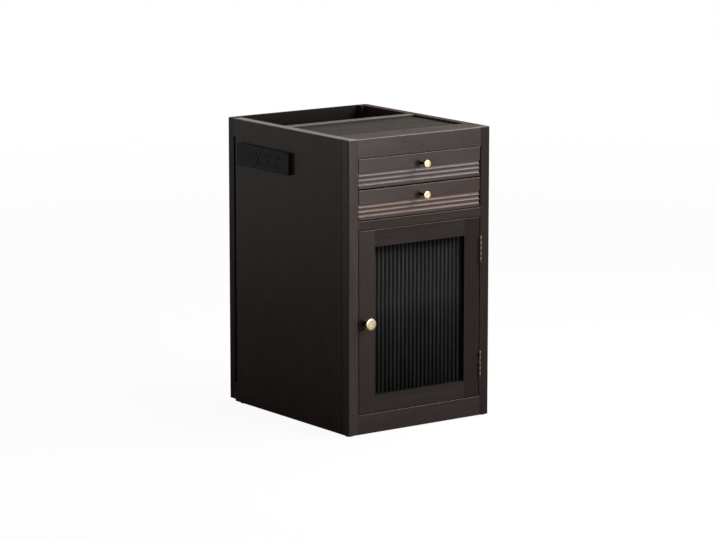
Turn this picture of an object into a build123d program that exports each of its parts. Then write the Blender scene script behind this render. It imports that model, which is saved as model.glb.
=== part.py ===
from build123d import *
import os

# Side cabinet with two drawers, a framed door with fluted glass and a socket strip.
# All sizes are millimetres. While it is built, x is 0 at the middle of the width,
# y is 0 at the front face and z is 0 on the floor. Every piece is shifted at the end,
# so that the origin lies under the middle of the whole object.

# Overall size
cabinet_width = 355.0
cabinet_depth = 426.0
cabinet_height = 600.0

# Boards
side_thickness = 20.0
board_thickness = 18.0
back_thickness = 6.0
outer_corner_radius = 3.5
top_edge_radius = 1.5
small_edge_radius = 0.8

# Front frame
frame_thickness = 20.0
stile_width = 24.0
top_rail_height = 38.0
middle_rail_height = 18.0
bottom_rail_height = 40.0
front_gap = 1.5
glide_height = 2.0
glide_radius = 8.0
glide_front_y = 12.0
glide_rear_inset = 41.0

# Top: front board, lowered tray and divider
front_board_depth = 40.0
tray_recess = 4.5
divider_front_y = 230.0
divider_thickness = 20.0

# Rear: posts beside a thin back panel, and the shadow groove in the side
post_width = 28.0
post_depth = 21.0
post_foot_lift = 4.0
groove_width = 7.0
groove_depth = 8.0
rear_rail_depth = 15.0
cable_hole_radius = 17.5
cable_hole_inset = 62.5
cable_hole_height = 38.0

# Shelf
shelf_height = 215.0
shelf_front_y = 40.0
shelf_side_clearance = 1.0
shelf_rear_clearance = 2.0
shelf_pin_radius = 2.5
shelf_pin_length = 18.0
shelf_pin_in_side = 10.0
shelf_pin_inset = 35.0
pin_seat_clearance = 0.05

# Dowels
dowel_radius = 3.0
dowel_length = 30.0
dowel_in_side = 12.0
dowel_clearance = 0.05
dowel_edge_inset = 12.0
panel_dowel_inset = 40.0
panel_dowel_count = 3
stile_dowel_inset = 58.0
stile_dowel_count = 4
post_dowel_inset = 74.0
post_dowel_count = 3
tray_dowel_inset = 35.0
tray_dowel_count = 2
front_board_dowel_inset = 10.0
front_board_dowel_count = 2
divider_dowel_inset = 30.0
divider_dowel_count = 2

# Drawers
drawer_front_height = 60.5
drawer_front_thickness = 18.0
drawer_gap = 2.5
drawer_side_thickness = 12.0
drawer_back_thickness = 12.0
drawer_bottom_thickness = 5.0
drawer_box_height = 44.0
drawer_box_lift = 8.0
drawer_rear_clearance = 12.0
drawer_bottom_lift = 6.0
drawer_bottom_tongue = 5.0
slot_clearance = 0.2
reed_count = 3
reed_pitch = 9.2
reed_width = 8.6
reed_depth = 3.0
reed_first_height = 10.2

# Drawer slides, three nested steel channels on each side
slide_thickness = 12.7
slide_height = 35.0
slide_front_y = 22.0
slide_rear_clearance = 8.0
slide_centre_height = 30.0
slide_wall = 1.2
slide_gap = 0.5
packing_height = 40.0
packing_rear_clearance = 4.0
slide_screw_inset = 40.0

# Door
door_thickness = 20.0
door_stile_width = 39.0
door_rail_height = 35.0
glass_recess = 10.0
glass_thickness = 5.0
glass_edge_clearance = 1.0
rebate_width = 8.0
bead_clearance = 0.5
flute_pitch = 10.0
flute_depth = 1.5
tenon_thickness = 6.0
tenon_length = 20.0
tenon_edge = 6.0
tenon_clearance = 0.1

# Hinges
hinge_length = 55.0
hinge_inset = 39.0
leaf_thickness = 1.0
leaf_width = 16.0
barrel_radius = 2.5
hinge_pin_radius = 1.25
hinge_pin_clearance = 0.05
knuckle_count = 5
knuckle_gap = 0.2
hinge_screw_inset = 13.75

# Knobs
drawer_knob_radius = 8.0
drawer_knob_projection = 25.0
drawer_knob_drop = 19.5
door_knob_radius = 12.0
door_knob_projection = 23.0
door_knob_inset = 14.0
knob_base_ratio = 0.52
knob_stem_ratio = 0.40
knob_base_thickness = 2.0
knob_base_taper = 1.0
knob_face_thickness = 4.0
knob_edge_chamfer = 0.6
knob_ring_radius_ratio = 0.6
knob_ring_width = 0.8
knob_ring_depth = 0.4
knob_flare_length = 4.0

# Screws
knob_screw_radius = 2.0
knob_screw_head_radius = 4.0
knob_screw_head_height = 2.5
knob_screw_grip = 8.0
knob_screw_tip_room = 1.0
wood_screw_radius = 1.5
wood_screw_head_radius = 2.7
short_screw_length = 16.0
slide_drawer_screw_length = 10.0
back_screw_inset = 4.0
back_screw_end = 40.0
back_screw_count = 5
screw_clearance = 0.05
drive_slot_width = 0.7
drive_slot_depth = 0.7

# Magnetic catch and its strike plate
catch_width = 40.0
catch_depth = 14.0
catch_height = 14.0
catch_inset = 72.0
catch_gap = 0.3
catch_ear = 5.0
magnet_width = 20.0
magnet_depth = 12.0
magnet_height = 6.0
magnet_proud = 0.5
strike_thickness = 1.2
strike_height = 14.0
strike_screw_length = 12.0
strike_screw_inset = 6.0
catch_screw_grip = 10.0

# Socket strip
strip_rear_inset = 43.0
strip_length = 187.0
strip_height = 45.0
strip_top_drop = 48.0
strip_proud = 8.0
strip_face = 3.0
strip_edge_radius = 1.2
strip_end_margin = 10.0
strip_side_margin = 4.0
strip_rim = 2.0
housing_wall = 2.0
housing_clearance = 0.3
socket_first_offset = 41.0
socket_pitch = 33.0
socket_count = 3
socket_slot_width = 2.4
socket_slot_height = 7.0
two_pin_offset = 6.35
two_pin_height = 8.5
earth_height = -2.5
live_offset = 6.5
live_height = -10.5
live_slant = 30.0
insert_width = 21.0
insert_depth = 12.0
insert_side_clearance = 1.0
bus_bar_thickness = 1.0
bus_bar_height = 4.0
bus_bar_inset = 2.0
port_offsets = (122.0, 137.0)
port_widths = (3.8, 6.0)
port_heights = (9.6, 13.4)
port_shell_wall = 0.5
port_clearance = 0.2
port_depth = 9.0
port_recess = 0.3
port_tongue_width = 1.2
port_tongue_ratio = 0.7
port_block_depth = 16.0
port_block_margin = 2.0
inlet_end_offset = 53.0
inlet_width = 26.0
inlet_height = 18.0
inlet_out = 10.0
inlet_in = 8.0
inlet_wall = 3.0
inlet_recess = 12.0
inlet_pin_radius = 1.2
inlet_pin_offset = 4.3
inlet_pin_setback = 3.0
socket_screw_inset = 5.0
socket_screw_grip = 5.0

# How far a cutting tool starts outside a face, how near two places count as one,
# and how far off a board's edge the choice of its edges stops
cut_overrun = 1.0
same_place = 0.01
edge_margin = 1.0

# Places worked out from the sizes above
half_width = cabinet_width / 2
inner_half = half_width - side_thickness
stile_inner = half_width - stile_width
front_half = stile_inner - front_gap
base_z = glide_height
opening_top = cabinet_height - top_rail_height
upper_front_bottom = opening_top - front_gap - drawer_front_height
lower_front_bottom = upper_front_bottom - drawer_gap - drawer_front_height
middle_rail_top = lower_front_bottom - front_gap
middle_rail_bottom = middle_rail_top - middle_rail_height
bottom_rail_top = base_z + bottom_rail_height
door_top = middle_rail_bottom - front_gap
door_bottom = bottom_rail_top + front_gap
post_front_y = cabinet_depth - post_depth
back_front_y = cabinet_depth - back_thickness
divider_back_y = divider_front_y + divider_thickness
tray_front_y = frame_thickness + front_board_depth
tray_top = cabinet_height - tray_recess
post_inner = half_width - post_width
back_bottom = base_z + post_foot_lift
drawer_box_length = divider_front_y - drawer_front_thickness - drawer_rear_clearance
slide_length = divider_front_y - slide_front_y - slide_rear_clearance
packing_length = divider_front_y - frame_thickness - packing_rear_clearance
door_knob_height = (door_bottom + door_top) / 2
catch_x = catch_inset - front_half
cable_hole_x = cable_hole_inset - inner_half
strip_bottom = cabinet_height - strip_top_drop - strip_height
strip_front_y = cabinet_depth - strip_rear_inset - strip_length
inlet_y = strip_front_y + strip_length - inlet_end_offset

origin_shift = Pos(strip_proud / 2, (drawer_knob_projection - cabinet_depth) / 2, 0)
nodes = {}


def block(x0, x1, y0, y1, z0, z1):
    """A box between two corners, given in either order."""
    (xa, xb), (ya, yb), (za, zb) = sorted((x0, x1)), sorted((y0, y1)), sorted((z0, z1))
    corner = (Align.MIN, Align.MIN, Align.MIN)
    return Pos(xa, ya, za) * Box(xb - xa, yb - ya, zb - za, align=corner)


def rod(start, direction, radius, length):
    """A round bar from a point along a direction."""
    upright = Cylinder(radius, length, align=(Align.CENTER, Align.CENTER, Align.MIN))
    return Plane(origin=start, z_dir=direction) * upright


def screw(start, direction, radius, head_radius, length, head_height=0.0, grow=0.0):
    """A screw whose head meets a face at the start point, or the hole for it where grow is set.
    With no head height the head is countersunk, else it is a pan head that stands on the face."""
    low = (Align.CENTER, Align.CENTER, Align.MIN)
    high = (Align.CENTER, Align.CENTER, Align.MAX)
    body = Cylinder(radius + grow, length + grow, align=low)
    if head_height:
        body += Cylinder(head_radius + grow, head_height, align=high)
    else:
        body += Cone(head_radius + grow, radius + grow, head_radius - radius, align=low)
    if not grow:
        top = drive_slot_depth - head_height
        for turn in (0, 90):
            bar = Box(head_radius, drive_slot_width, drive_slot_depth, align=high)
            body -= Rot(0, 0, turn) * Pos(0, 0, top) * bar
    return Plane(origin=start, z_dir=direction) * body


def round_edges(part, radius, chosen):
    """Round the edges whose middle point passes the test."""
    edges = [edge for edge in part.edges() if chosen(edge.position_at(0.5))]
    return fillet(edges, radius)


def near(a, b):
    """True where two lengths are the same place."""
    return abs(a - b) < same_place


def spread(low, high, inset, count):
    """Evenly spaced places between two ends, the first and last set in from them."""
    step = (high - low - 2 * inset) / (count - 1)
    return [low + inset + index * step for index in range(count)]


def dowels_across(joint_x, sites):
    """Dowels along x at both ends of a board, at each (y, z) of the list."""
    made = []
    for side in (-1, 1):
        for y, z in sites:
            start = (side * (joint_x + dowel_in_side), y, z)
            made.append((start, (-side, 0, 0)))
    return made


def dowels_back(joint_y, x, heights):
    """Dowels along y on both sides of the cabinet, from a front piece into the one behind."""
    made = []
    for side in (-1, 1):
        for z in heights:
            made.append(((side * x, joint_y, z), (0, 1, 0)))
    return made


# Carcass dowels: where each board meets the next one
board_line = board_thickness / 2
rail_line = frame_thickness / 2
panel_dowel_ys = spread(frame_thickness, post_front_y, panel_dowel_inset, panel_dowel_count)
stile_dowel_zs = spread(base_z, cabinet_height, stile_dowel_inset, stile_dowel_count)
post_dowel_zs = spread(back_bottom, cabinet_height, post_dowel_inset, post_dowel_count)
tray_dowel_ys = spread(tray_front_y, divider_front_y, tray_dowel_inset, tray_dowel_count)
front_board_dowel_ys = spread(
    frame_thickness, tray_front_y, front_board_dowel_inset, front_board_dowel_count
)
divider_dowel_zs = spread(middle_rail_top, cabinet_height, divider_dowel_inset, divider_dowel_count)

dowel_sites = []
dowel_sites += dowels_across(stile_inner, [(rail_line, cabinet_height - dowel_edge_inset)])
dowel_sites += dowels_across(stile_inner, [(rail_line, opening_top + dowel_edge_inset)])
dowel_sites += dowels_across(stile_inner, [(rail_line, middle_rail_top - middle_rail_height / 2)])
dowel_sites += dowels_across(stile_inner, [(rail_line, base_z + dowel_edge_inset)])
dowel_sites += dowels_across(stile_inner, [(rail_line, bottom_rail_top - dowel_edge_inset)])
for panel_top in (middle_rail_top, bottom_rail_top):
    dowel_sites += dowels_across(inner_half, [(y, panel_top - board_line) for y in panel_dowel_ys])
dowel_sites += dowels_across(inner_half, [(y, tray_top - board_line) for y in tray_dowel_ys])
front_board_sites = [(y, cabinet_height - board_line) for y in front_board_dowel_ys]
dowel_sites += dowels_across(inner_half, front_board_sites)
divider_line = divider_front_y + divider_thickness / 2
dowel_sites += dowels_across(inner_half, [(divider_line, z) for z in divider_dowel_zs])
rear_rail_y = back_front_y - rear_rail_depth / 2
rear_rail_z = (back_bottom + bottom_rail_top - board_thickness) / 2
dowel_sites += dowels_across(post_inner, [(rear_rail_y, rear_rail_z)])
side_line = half_width - side_thickness / 2
dowel_sites += dowels_back(frame_thickness - dowel_in_side, side_line, stile_dowel_zs)
post_line = inner_half + (side_thickness - groove_depth) / 2
dowel_sites += dowels_back(post_front_y + dowel_in_side - dowel_length, post_line, post_dowel_zs)

dowel_holes = []
for start, way in dowel_sites:
    nodes.setdefault("carcass_dowels", []).append(rod(start, way, dowel_radius, dowel_length))
    dowel_holes.append(rod(start, way, dowel_radius + dowel_clearance, dowel_length))


def drilled(part, holes):
    """Cut from a part the holes that reach into its box."""
    box = part.bounding_box()
    for hole in holes:
        other = hole.bounding_box()
        apart = (
            other.max.X <= box.min.X or other.min.X >= box.max.X
            or other.max.Y <= box.min.Y or other.min.Y >= box.max.Y
            or other.max.Z <= box.min.Z or other.min.Z >= box.max.Z
        )
        if not apart:
            part = part - hole
    return part


# Screws of the cabinet body: each is kept with the hole that it needs
cabinet_screws = []
cabinet_screw_holes = []
door_screws = []
door_screw_holes = []


def fit_screw(pieces, holes, *place, head_height=0.0):
    """Add a screw to a list of pieces and its hole to a list of holes."""
    pieces.append(screw(*place, head_height=head_height))
    holes.append(screw(*place, head_height=head_height, grow=screw_clearance))


# Hinges: frame leaf, door leaf and pin
hinge_axis_x = (stile_inner + front_half) / 2
hinge_axis_y = -barrel_radius
hinge_bottoms = (door_bottom + hinge_inset, door_top - hinge_inset - hinge_length)
frame_leaf_pockets = []
door_leaf_pockets = []


def hinge_leaf(z0, inner_x, outer_x, first_knuckle):
    """One leaf with its knuckles, let into the edge of a stile."""
    leaf = block(inner_x, outer_x, 0, leaf_width, z0, z0 + hinge_length)
    step = hinge_length / knuckle_count
    for index in range(first_knuckle, knuckle_count, 2):
        low = z0 + index * step + knuckle_gap / 2
        high = low + step - knuckle_gap
        leaf += rod((hinge_axis_x, hinge_axis_y, low), (0, 0, 1), barrel_radius, high - low)
        leaf += block(inner_x, outer_x, hinge_axis_y, 0, low, high)
    bore_radius = hinge_pin_radius + hinge_pin_clearance
    return leaf - rod((hinge_axis_x, hinge_axis_y, z0), (0, 0, 1), bore_radius, hinge_length)


for z0 in hinge_bottoms:
    z1 = z0 + hinge_length
    frame_leaf = hinge_leaf(z0, stile_inner, stile_inner + leaf_thickness, 0)
    door_leaf = hinge_leaf(z0, front_half, front_half - leaf_thickness, 1)
    pocket = (-cut_overrun, leaf_width, z0, z1)
    frame_leaf_pockets.append(block(stile_inner, stile_inner + leaf_thickness, *pocket))
    door_leaf_pockets.append(block(front_half, front_half - leaf_thickness, *pocket))
    leaf_holes = []
    for z in (z0 + hinge_screw_inset, z1 - hinge_screw_inset):
        size = (wood_screw_radius, wood_screw_head_radius, short_screw_length)
        middle = leaf_width / 2
        fit_screw(cabinet_screws, cabinet_screw_holes, (stile_inner, middle, z), (1, 0, 0), *size)
        fit_screw(door_screws, door_screw_holes, (front_half, middle, z), (-1, 0, 0), *size)
        leaf_holes += [cabinet_screw_holes[-1], door_screw_holes[-1]]
    nodes.setdefault("hinge_frame_leaves", []).append(drilled(frame_leaf, leaf_holes))
    nodes.setdefault("hinge_door_leaves", []).append(drilled(door_leaf, leaf_holes))
    pin = rod((hinge_axis_x, hinge_axis_y, z0), (0, 0, 1), hinge_pin_radius, hinge_length)
    nodes.setdefault("hinge_pins", []).append(pin)

# Magnetic catch under the middle panel, and its strike plate on the door
catch_front_y = door_thickness + strike_thickness + catch_gap + magnet_proud
catch_bottom = middle_rail_bottom - catch_height
catch_half = catch_width / 2
magnet_half = magnet_width / 2
magnet_z = catch_bottom + (catch_height - magnet_height) / 2
housing = block(
    catch_x - catch_half, catch_x + catch_half,
    catch_front_y, catch_front_y + catch_depth, catch_bottom, middle_rail_bottom,
)
magnet = block(
    catch_x - magnet_half, catch_x + magnet_half,
    catch_front_y - magnet_proud, catch_front_y - magnet_proud + magnet_depth,
    magnet_z, magnet_z + magnet_height,
)
catch_screw_length = catch_height + catch_screw_grip
for side in (-1, 1):
    spot = (catch_x + side * (catch_half - catch_ear), catch_front_y + catch_depth / 2, catch_bottom)
    size = (wood_screw_radius, wood_screw_head_radius, catch_screw_length)
    fit_screw(cabinet_screws, cabinet_screw_holes, spot, (0, 0, 1), *size)
nodes["catch_housing"] = [drilled(housing - magnet, cabinet_screw_holes[-2:])]
nodes["catch_magnet"] = [magnet]

strike_back = door_thickness + strike_thickness
strike_middle = catch_bottom + catch_height / 2
strike = block(
    catch_x - catch_half, catch_x + catch_half, door_thickness, strike_back,
    strike_middle - strike_height / 2, strike_middle + strike_height / 2 - front_gap,
)
for side in (-1, 1):
    spot = (catch_x + side * (catch_half - strike_screw_inset), strike_back, strike_middle)
    size = (wood_screw_radius, wood_screw_head_radius, strike_screw_length)
    fit_screw(door_screws, door_screw_holes, spot, (0, -1, 0), *size)
nodes["catch_strike_plate"] = [drilled(strike, door_screw_holes[-2:])]

# Knobs, turned in one piece, each held by a screw from behind
knob_hole_radius = knob_screw_radius + screw_clearance
knob_hole_depth = knob_screw_grip + knob_screw_tip_room


def knob(x, z, radius, projection):
    """A disc knob with a flat face, a flared neck and a round foot."""
    foot = radius * knob_base_ratio
    stem = radius * knob_stem_ratio
    neck = projection - knob_face_thickness
    outline = Polyline(
        (0, 0), (foot, 0), (foot, knob_base_thickness),
        (stem, knob_base_thickness + knob_base_taper),
        (stem, neck - knob_flare_length), (radius - knob_edge_chamfer, neck),
        (radius, neck + knob_edge_chamfer), (radius, projection - knob_edge_chamfer),
        (radius - knob_edge_chamfer, projection), (0, projection), (0, 0),
    )
    turned = revolve(make_face(outline), Axis.Y)
    ring_radius = radius * knob_ring_radius_ratio
    ring = Circle(ring_radius) - Circle(ring_radius - knob_ring_width)
    ring_plane = Plane(origin=(0, projection, 0), z_dir=(0, -1, 0))
    turned -= extrude(ring_plane * ring, knob_ring_depth)
    turned -= rod((0, 0, 0), (0, 1, 0), knob_hole_radius, knob_hole_depth)
    return Pos(x, 0, z) * Rot(0, 0, 180) * turned


def knob_screw(x, z, board, grow=0.0):
    """The knob's screw, from the back of a board of the given thickness, or its hole."""
    length = board + knob_screw_grip
    size = (knob_screw_radius, knob_screw_head_radius, length, knob_screw_head_height)
    return screw((x, board, z), (0, -1, 0), *size, grow=grow)


# Side panels
def side_panel(side):
    """A side board with the stopped shadow groove in its outer rear edge."""
    outer = side * half_width
    panel = block(outer, side * inner_half, frame_thickness, post_front_y, base_z, cabinet_height)
    panel = round_edges(panel, top_edge_radius, lambda p: near(p.X, outer) and near(p.Z, cabinet_height))
    groove = block(
        outer, side * (half_width - groove_depth), post_front_y - groove_width, post_front_y,
        bottom_rail_top, opening_top,
    )
    return panel - groove


# Shelf pins stand in the side panels
for side in (-1, 1):
    for y in (shelf_front_y + shelf_pin_inset, post_front_y - shelf_pin_inset):
        height = shelf_height - shelf_pin_radius - pin_seat_clearance
        start = (side * (inner_half + shelf_pin_in_side), y, height)
        pin = rod(start, (-side, 0, 0), shelf_pin_radius, shelf_pin_length)
        nodes.setdefault("shelf_pins", []).append(pin)
        dowel_holes.append(rod(start, (-side, 0, 0), shelf_pin_radius + dowel_clearance, shelf_pin_in_side))

# Drawer slides: three nested channels on each side of each drawer
slide_mount_x = stile_inner
drawer_half = slide_mount_x - slide_thickness
slide_step = slide_wall + slide_gap
drawer_channel_x = drawer_half + slide_wall
drawer_side_holes = {}


def channel(side, web_x, mouth_x, half_height, z):
    """A steel channel along y, with its web at one x and its mouth at the other."""
    inward = 1 if mouth_x > web_x else -1
    y0, y1 = slide_front_y, slide_front_y + slide_length
    bar = block(side * web_x, side * mouth_x, y0, y1, z - half_height, z + half_height)
    hollow = block(
        side * (web_x + inward * slide_wall), side * mouth_x, y0, y1,
        z - half_height + slide_wall, z + half_height - slide_wall,
    )
    return bar - hollow


for level, front_bottom in (("upper", upper_front_bottom), ("lower", lower_front_bottom)):
    z = front_bottom + slide_centre_height
    for side in (-1, 1):
        packing = block(
            side * slide_mount_x, side * inner_half, frame_thickness, frame_thickness + packing_length,
            z - packing_height / 2, z + packing_height / 2,
        )
        half = slide_height / 2
        fixed = channel(side, slide_mount_x, drawer_half + slide_step, half, z)
        moving = channel(side, slide_mount_x - slide_step, drawer_half + slide_step, half - slide_step, z)
        inner_web = slide_mount_x - 2 * slide_step
        carried = channel(side, drawer_half, inner_web, half - 2 * slide_step, z)
        size = (wood_screw_radius, wood_screw_head_radius)
        fixed_holes = []
        carried_holes = []
        for y in (slide_front_y + slide_screw_inset, slide_front_y + slide_length - slide_screw_inset):
            out = (side, 0, 0)
            spot = (side * (slide_mount_x - slide_wall), y, z)
            fit_screw(cabinet_screws, cabinet_screw_holes, spot, out, *size, short_screw_length)
            fixed_holes.append(cabinet_screw_holes[-1])
            back_in = (-side, 0, 0)
            pieces = nodes.setdefault(f"{level}_drawer_screws", [])
            spot = (side * drawer_channel_x, y, z)
            fit_screw(pieces, carried_holes, spot, back_in, *size, slide_drawer_screw_length)
        nodes.setdefault("slide_packing_strips", []).append(drilled(packing, fixed_holes))
        nodes.setdefault("slide_cabinet_members", []).append(drilled(fixed, fixed_holes))
        nodes.setdefault(f"{level}_slide_middle_members", []).append(moving)
        name = f"{level}_slide_drawer_members"
        nodes.setdefault(name, []).append(drilled(carried, carried_holes))
        drawer_side_holes.setdefault(level, []).extend(carried_holes)

# Socket strip: the cover stands proud of the left side, the housing fills the cut-out behind it
panel_face_x = -half_width
cover_face_x = -half_width - strip_proud
cover_inner_x = cover_face_x + strip_face
strip_back_y = strip_front_y + strip_length
strip_top = strip_bottom + strip_height
strip_middle = strip_bottom + strip_height / 2
cut_front_y = strip_front_y + strip_end_margin
cut_back_y = strip_back_y - strip_end_margin
cut_bottom = strip_bottom + strip_side_margin
cut_top = strip_top - strip_side_margin
socket_cutout = block(panel_face_x, -inner_half, cut_front_y, cut_back_y, cut_bottom, cut_top)

cover = block(cover_face_x, panel_face_x, strip_front_y, strip_back_y, strip_bottom, strip_top)
cover = round_edges(cover, strip_edge_radius, lambda p: near(p.X, cover_face_x))
cover -= block(
    cover_inner_x, panel_face_x, cut_front_y + strip_rim, cut_back_y - strip_rim,
    cut_bottom + strip_rim, cut_top - strip_rim,
)


def slot(y, z, slant, depth):
    """A pin slot from the cover's face inwards."""
    bar = Box(depth, socket_slot_width, socket_slot_height, align=(Align.MIN, Align.CENTER, Align.CENTER))
    return Pos(cover_face_x, y, z) * Rot(slant, 0, 0) * bar


socket_ys = [strip_front_y + socket_first_offset + index * socket_pitch for index in range(socket_count)]
slot_depth = strip_face + insert_depth
insert_half_height = strip_height / 2 - strip_side_margin - strip_rim - insert_side_clearance
for y in socket_ys:
    slots = [
        slot(y - two_pin_offset, strip_middle + two_pin_height, 0, slot_depth),
        slot(y + two_pin_offset, strip_middle + two_pin_height, 0, slot_depth),
        slot(y, strip_middle + earth_height, 0, slot_depth),
        slot(y - live_offset, strip_middle + live_height, -live_slant, slot_depth),
        slot(y + live_offset, strip_middle + live_height, live_slant, slot_depth),
    ]
    insert = block(
        cover_inner_x, cover_inner_x + insert_depth, y - insert_width / 2, y + insert_width / 2,
        strip_middle - insert_half_height, strip_middle + insert_half_height,
    )
    for hole in slots:
        cover -= hole
        insert -= hole
    nodes.setdefault("socket_inserts", []).append(insert)

bar_x = cover_inner_x + insert_depth
bar_ends = (
    socket_ys[0] - insert_width / 2 + bus_bar_inset,
    socket_ys[-1] + insert_width / 2 - bus_bar_inset,
)
for height in (two_pin_height, earth_height, live_height):
    bar = block(
        bar_x, bar_x + bus_bar_thickness, *bar_ends,
        strip_middle + height - bus_bar_height / 2, strip_middle + height + bus_bar_height / 2,
    )
    nodes.setdefault("socket_bus_bars", []).append(bar)

# The two USB ports share one block behind the cover
port_ys = [strip_front_y + offset for offset in port_offsets]
ports = block(
    cover_inner_x, cover_inner_x + port_block_depth,
    port_ys[0] - port_widths[0] / 2 - port_block_margin,
    port_ys[1] + port_widths[1] / 2 + port_block_margin,
    strip_middle - port_heights[1] / 2 - port_block_margin,
    strip_middle + port_heights[1] / 2 + port_block_margin,
)
mouth_x = cover_face_x + port_recess
for y, width, height in zip(port_ys, port_widths, port_heights):
    cover -= block(
        cover_face_x, cover_inner_x, y - width / 2, y + width / 2,
        strip_middle - height / 2, strip_middle + height / 2,
    )
    half_w = width / 2 - port_clearance
    half_h = height / 2 - port_clearance
    ports += block(
        mouth_x, cover_inner_x, y - half_w, y + half_w, strip_middle - half_h, strip_middle + half_h
    )
    inner_w = half_w - port_shell_wall
    inner_h = half_h - port_shell_wall
    ports -= block(
        mouth_x, mouth_x + port_depth, y - inner_w, y + inner_w,
        strip_middle - inner_h, strip_middle + inner_h,
    )
    tongue_half = port_tongue_width / 2 * width / port_widths[1]
    ports += block(
        mouth_x + port_recess, mouth_x + port_depth, y - tongue_half, y + tongue_half,
        strip_middle - inner_h * port_tongue_ratio, strip_middle + inner_h * port_tongue_ratio,
    )
nodes["usb_ports"] = [ports]

# Power inlet in the housing's back wall, open towards the well
inlet_window = block(
    -inner_half - housing_wall, -inner_half, inlet_y - inlet_width / 2, inlet_y + inlet_width / 2,
    strip_middle - inlet_height / 2, strip_middle + inlet_height / 2,
)
inlet_mouth = -inner_half + inlet_out
inlet = block(
    -inner_half - inlet_in, inlet_mouth, inlet_y - inlet_width / 2, inlet_y + inlet_width / 2,
    strip_middle - inlet_height / 2, strip_middle + inlet_height / 2,
)
inlet -= block(
    inlet_mouth - inlet_recess, inlet_mouth,
    inlet_y - inlet_width / 2 + inlet_wall, inlet_y + inlet_width / 2 - inlet_wall,
    strip_middle - inlet_height / 2 + inlet_wall, strip_middle + inlet_height / 2 - inlet_wall,
)
for side in (-1, 1):
    start = (inlet_mouth - inlet_recess, inlet_y + side * inlet_pin_offset, strip_middle)
    inlet += rod(start, (1, 0, 0), inlet_pin_radius, inlet_recess - inlet_pin_setback)
nodes["power_inlet"] = [inlet]

housing_shell = block(
    panel_face_x, -inner_half, cut_front_y + housing_clearance, cut_back_y - housing_clearance,
    cut_bottom + housing_clearance, cut_top - housing_clearance,
)
housing_hollow = block(
    panel_face_x, -inner_half - housing_wall,
    cut_front_y + housing_clearance + housing_wall, cut_back_y - housing_clearance - housing_wall,
    cut_bottom + housing_clearance + housing_wall, cut_top - housing_clearance - housing_wall,
)
nodes["socket_housing"] = [housing_shell - housing_hollow - inlet_window]

socket_screw_holes = []
for y in (strip_front_y + socket_screw_inset, strip_back_y - socket_screw_inset):
    size = (wood_screw_radius, wood_screw_head_radius, side_thickness + socket_screw_grip)
    pieces = nodes.setdefault("socket_screws", [])
    fit_screw(pieces, socket_screw_holes, (-inner_half, y, strip_middle), (-1, 0, 0), *size)
nodes["socket_cover"] = [drilled(cover, socket_screw_holes)]

# Side panels, with their holes
side_holes = dowel_holes + cabinet_screw_holes
nodes["left_side_panel"] = [drilled(side_panel(-1) - socket_cutout, side_holes + socket_screw_holes)]
nodes["right_side_panel"] = [drilled(side_panel(1), side_holes)]

# Front frame
for name, side in (("left_front_stile", -1), ("right_front_stile", 1)):
    outer = side * half_width
    stile = block(outer, side * stile_inner, 0, frame_thickness, base_z, cabinet_height)
    stile = round_edges(stile, outer_corner_radius, lambda p: near(p.X, outer) and near(p.Y, 0))
    front_stop = frame_thickness - edge_margin
    on_top = lambda p: near(p.Z, cabinet_height) and p.Y < front_stop and abs(p.X) > stile_inner + edge_margin
    stile = round_edges(stile, top_edge_radius, on_top)
    if side > 0:
        for pocket in frame_leaf_pockets:
            stile -= pocket
    nodes[name] = [drilled(stile, side_holes)]

front_rails = {
    "top_front_rail": (opening_top, cabinet_height),
    "middle_front_rail": (middle_rail_bottom, middle_rail_top),
    "bottom_front_rail": (base_z, bottom_rail_top),
}
for name, (low, high) in front_rails.items():
    rail = block(-stile_inner, stile_inner, 0, frame_thickness, low, high)
    if near(high, cabinet_height):
        rail = round_edges(rail, top_edge_radius, lambda p: near(p.Y, 0) and near(p.Z, cabinet_height))
    nodes[name] = [drilled(rail, dowel_holes)]

# Panels between the sides
def notched_panel(top):
    """A full-depth panel, notched at its rear corners round the posts."""
    low = top - board_thickness
    panel = block(-inner_half, inner_half, frame_thickness, back_front_y, low, top)
    for side in (-1, 1):
        panel -= block(side * post_inner, side * inner_half, post_front_y, back_front_y, low, top)
    return panel


nodes["middle_panel"] = [drilled(notched_panel(middle_rail_top), side_holes)]
nodes["bottom_panel"] = [drilled(notched_panel(bottom_rail_top), dowel_holes)]
front_board = block(
    -inner_half, inner_half, frame_thickness, tray_front_y,
    cabinet_height - board_thickness, cabinet_height,
)
nodes["top_front_board"] = [drilled(front_board, dowel_holes)]
tray = block(
    -inner_half, inner_half, tray_front_y, divider_front_y, tray_top - board_thickness, tray_top
)
nodes["tray_board"] = [drilled(tray, dowel_holes)]
divider = block(
    -inner_half, inner_half, divider_front_y, divider_back_y, middle_rail_top, cabinet_height
)
top_back_edge = lambda p: near(p.Y, divider_back_y) and near(p.Z, cabinet_height)
divider = round_edges(divider, small_edge_radius, top_back_edge)
nodes["divider_panel"] = [drilled(divider, dowel_holes)]

# Rear posts, rebated for the back panel
back_rebate = inner_half - post_inner
back_screw_holes = []
for side in (-1, 1):
    for z in spread(back_bottom, cabinet_height, back_screw_end, back_screw_count):
        spot = (side * (inner_half - back_screw_inset), cabinet_depth, z)
        size = (wood_screw_radius, wood_screw_head_radius, short_screw_length)
        pieces = nodes.setdefault("back_panel_screws", [])
        fit_screw(pieces, back_screw_holes, spot, (0, -1, 0), *size)

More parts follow.
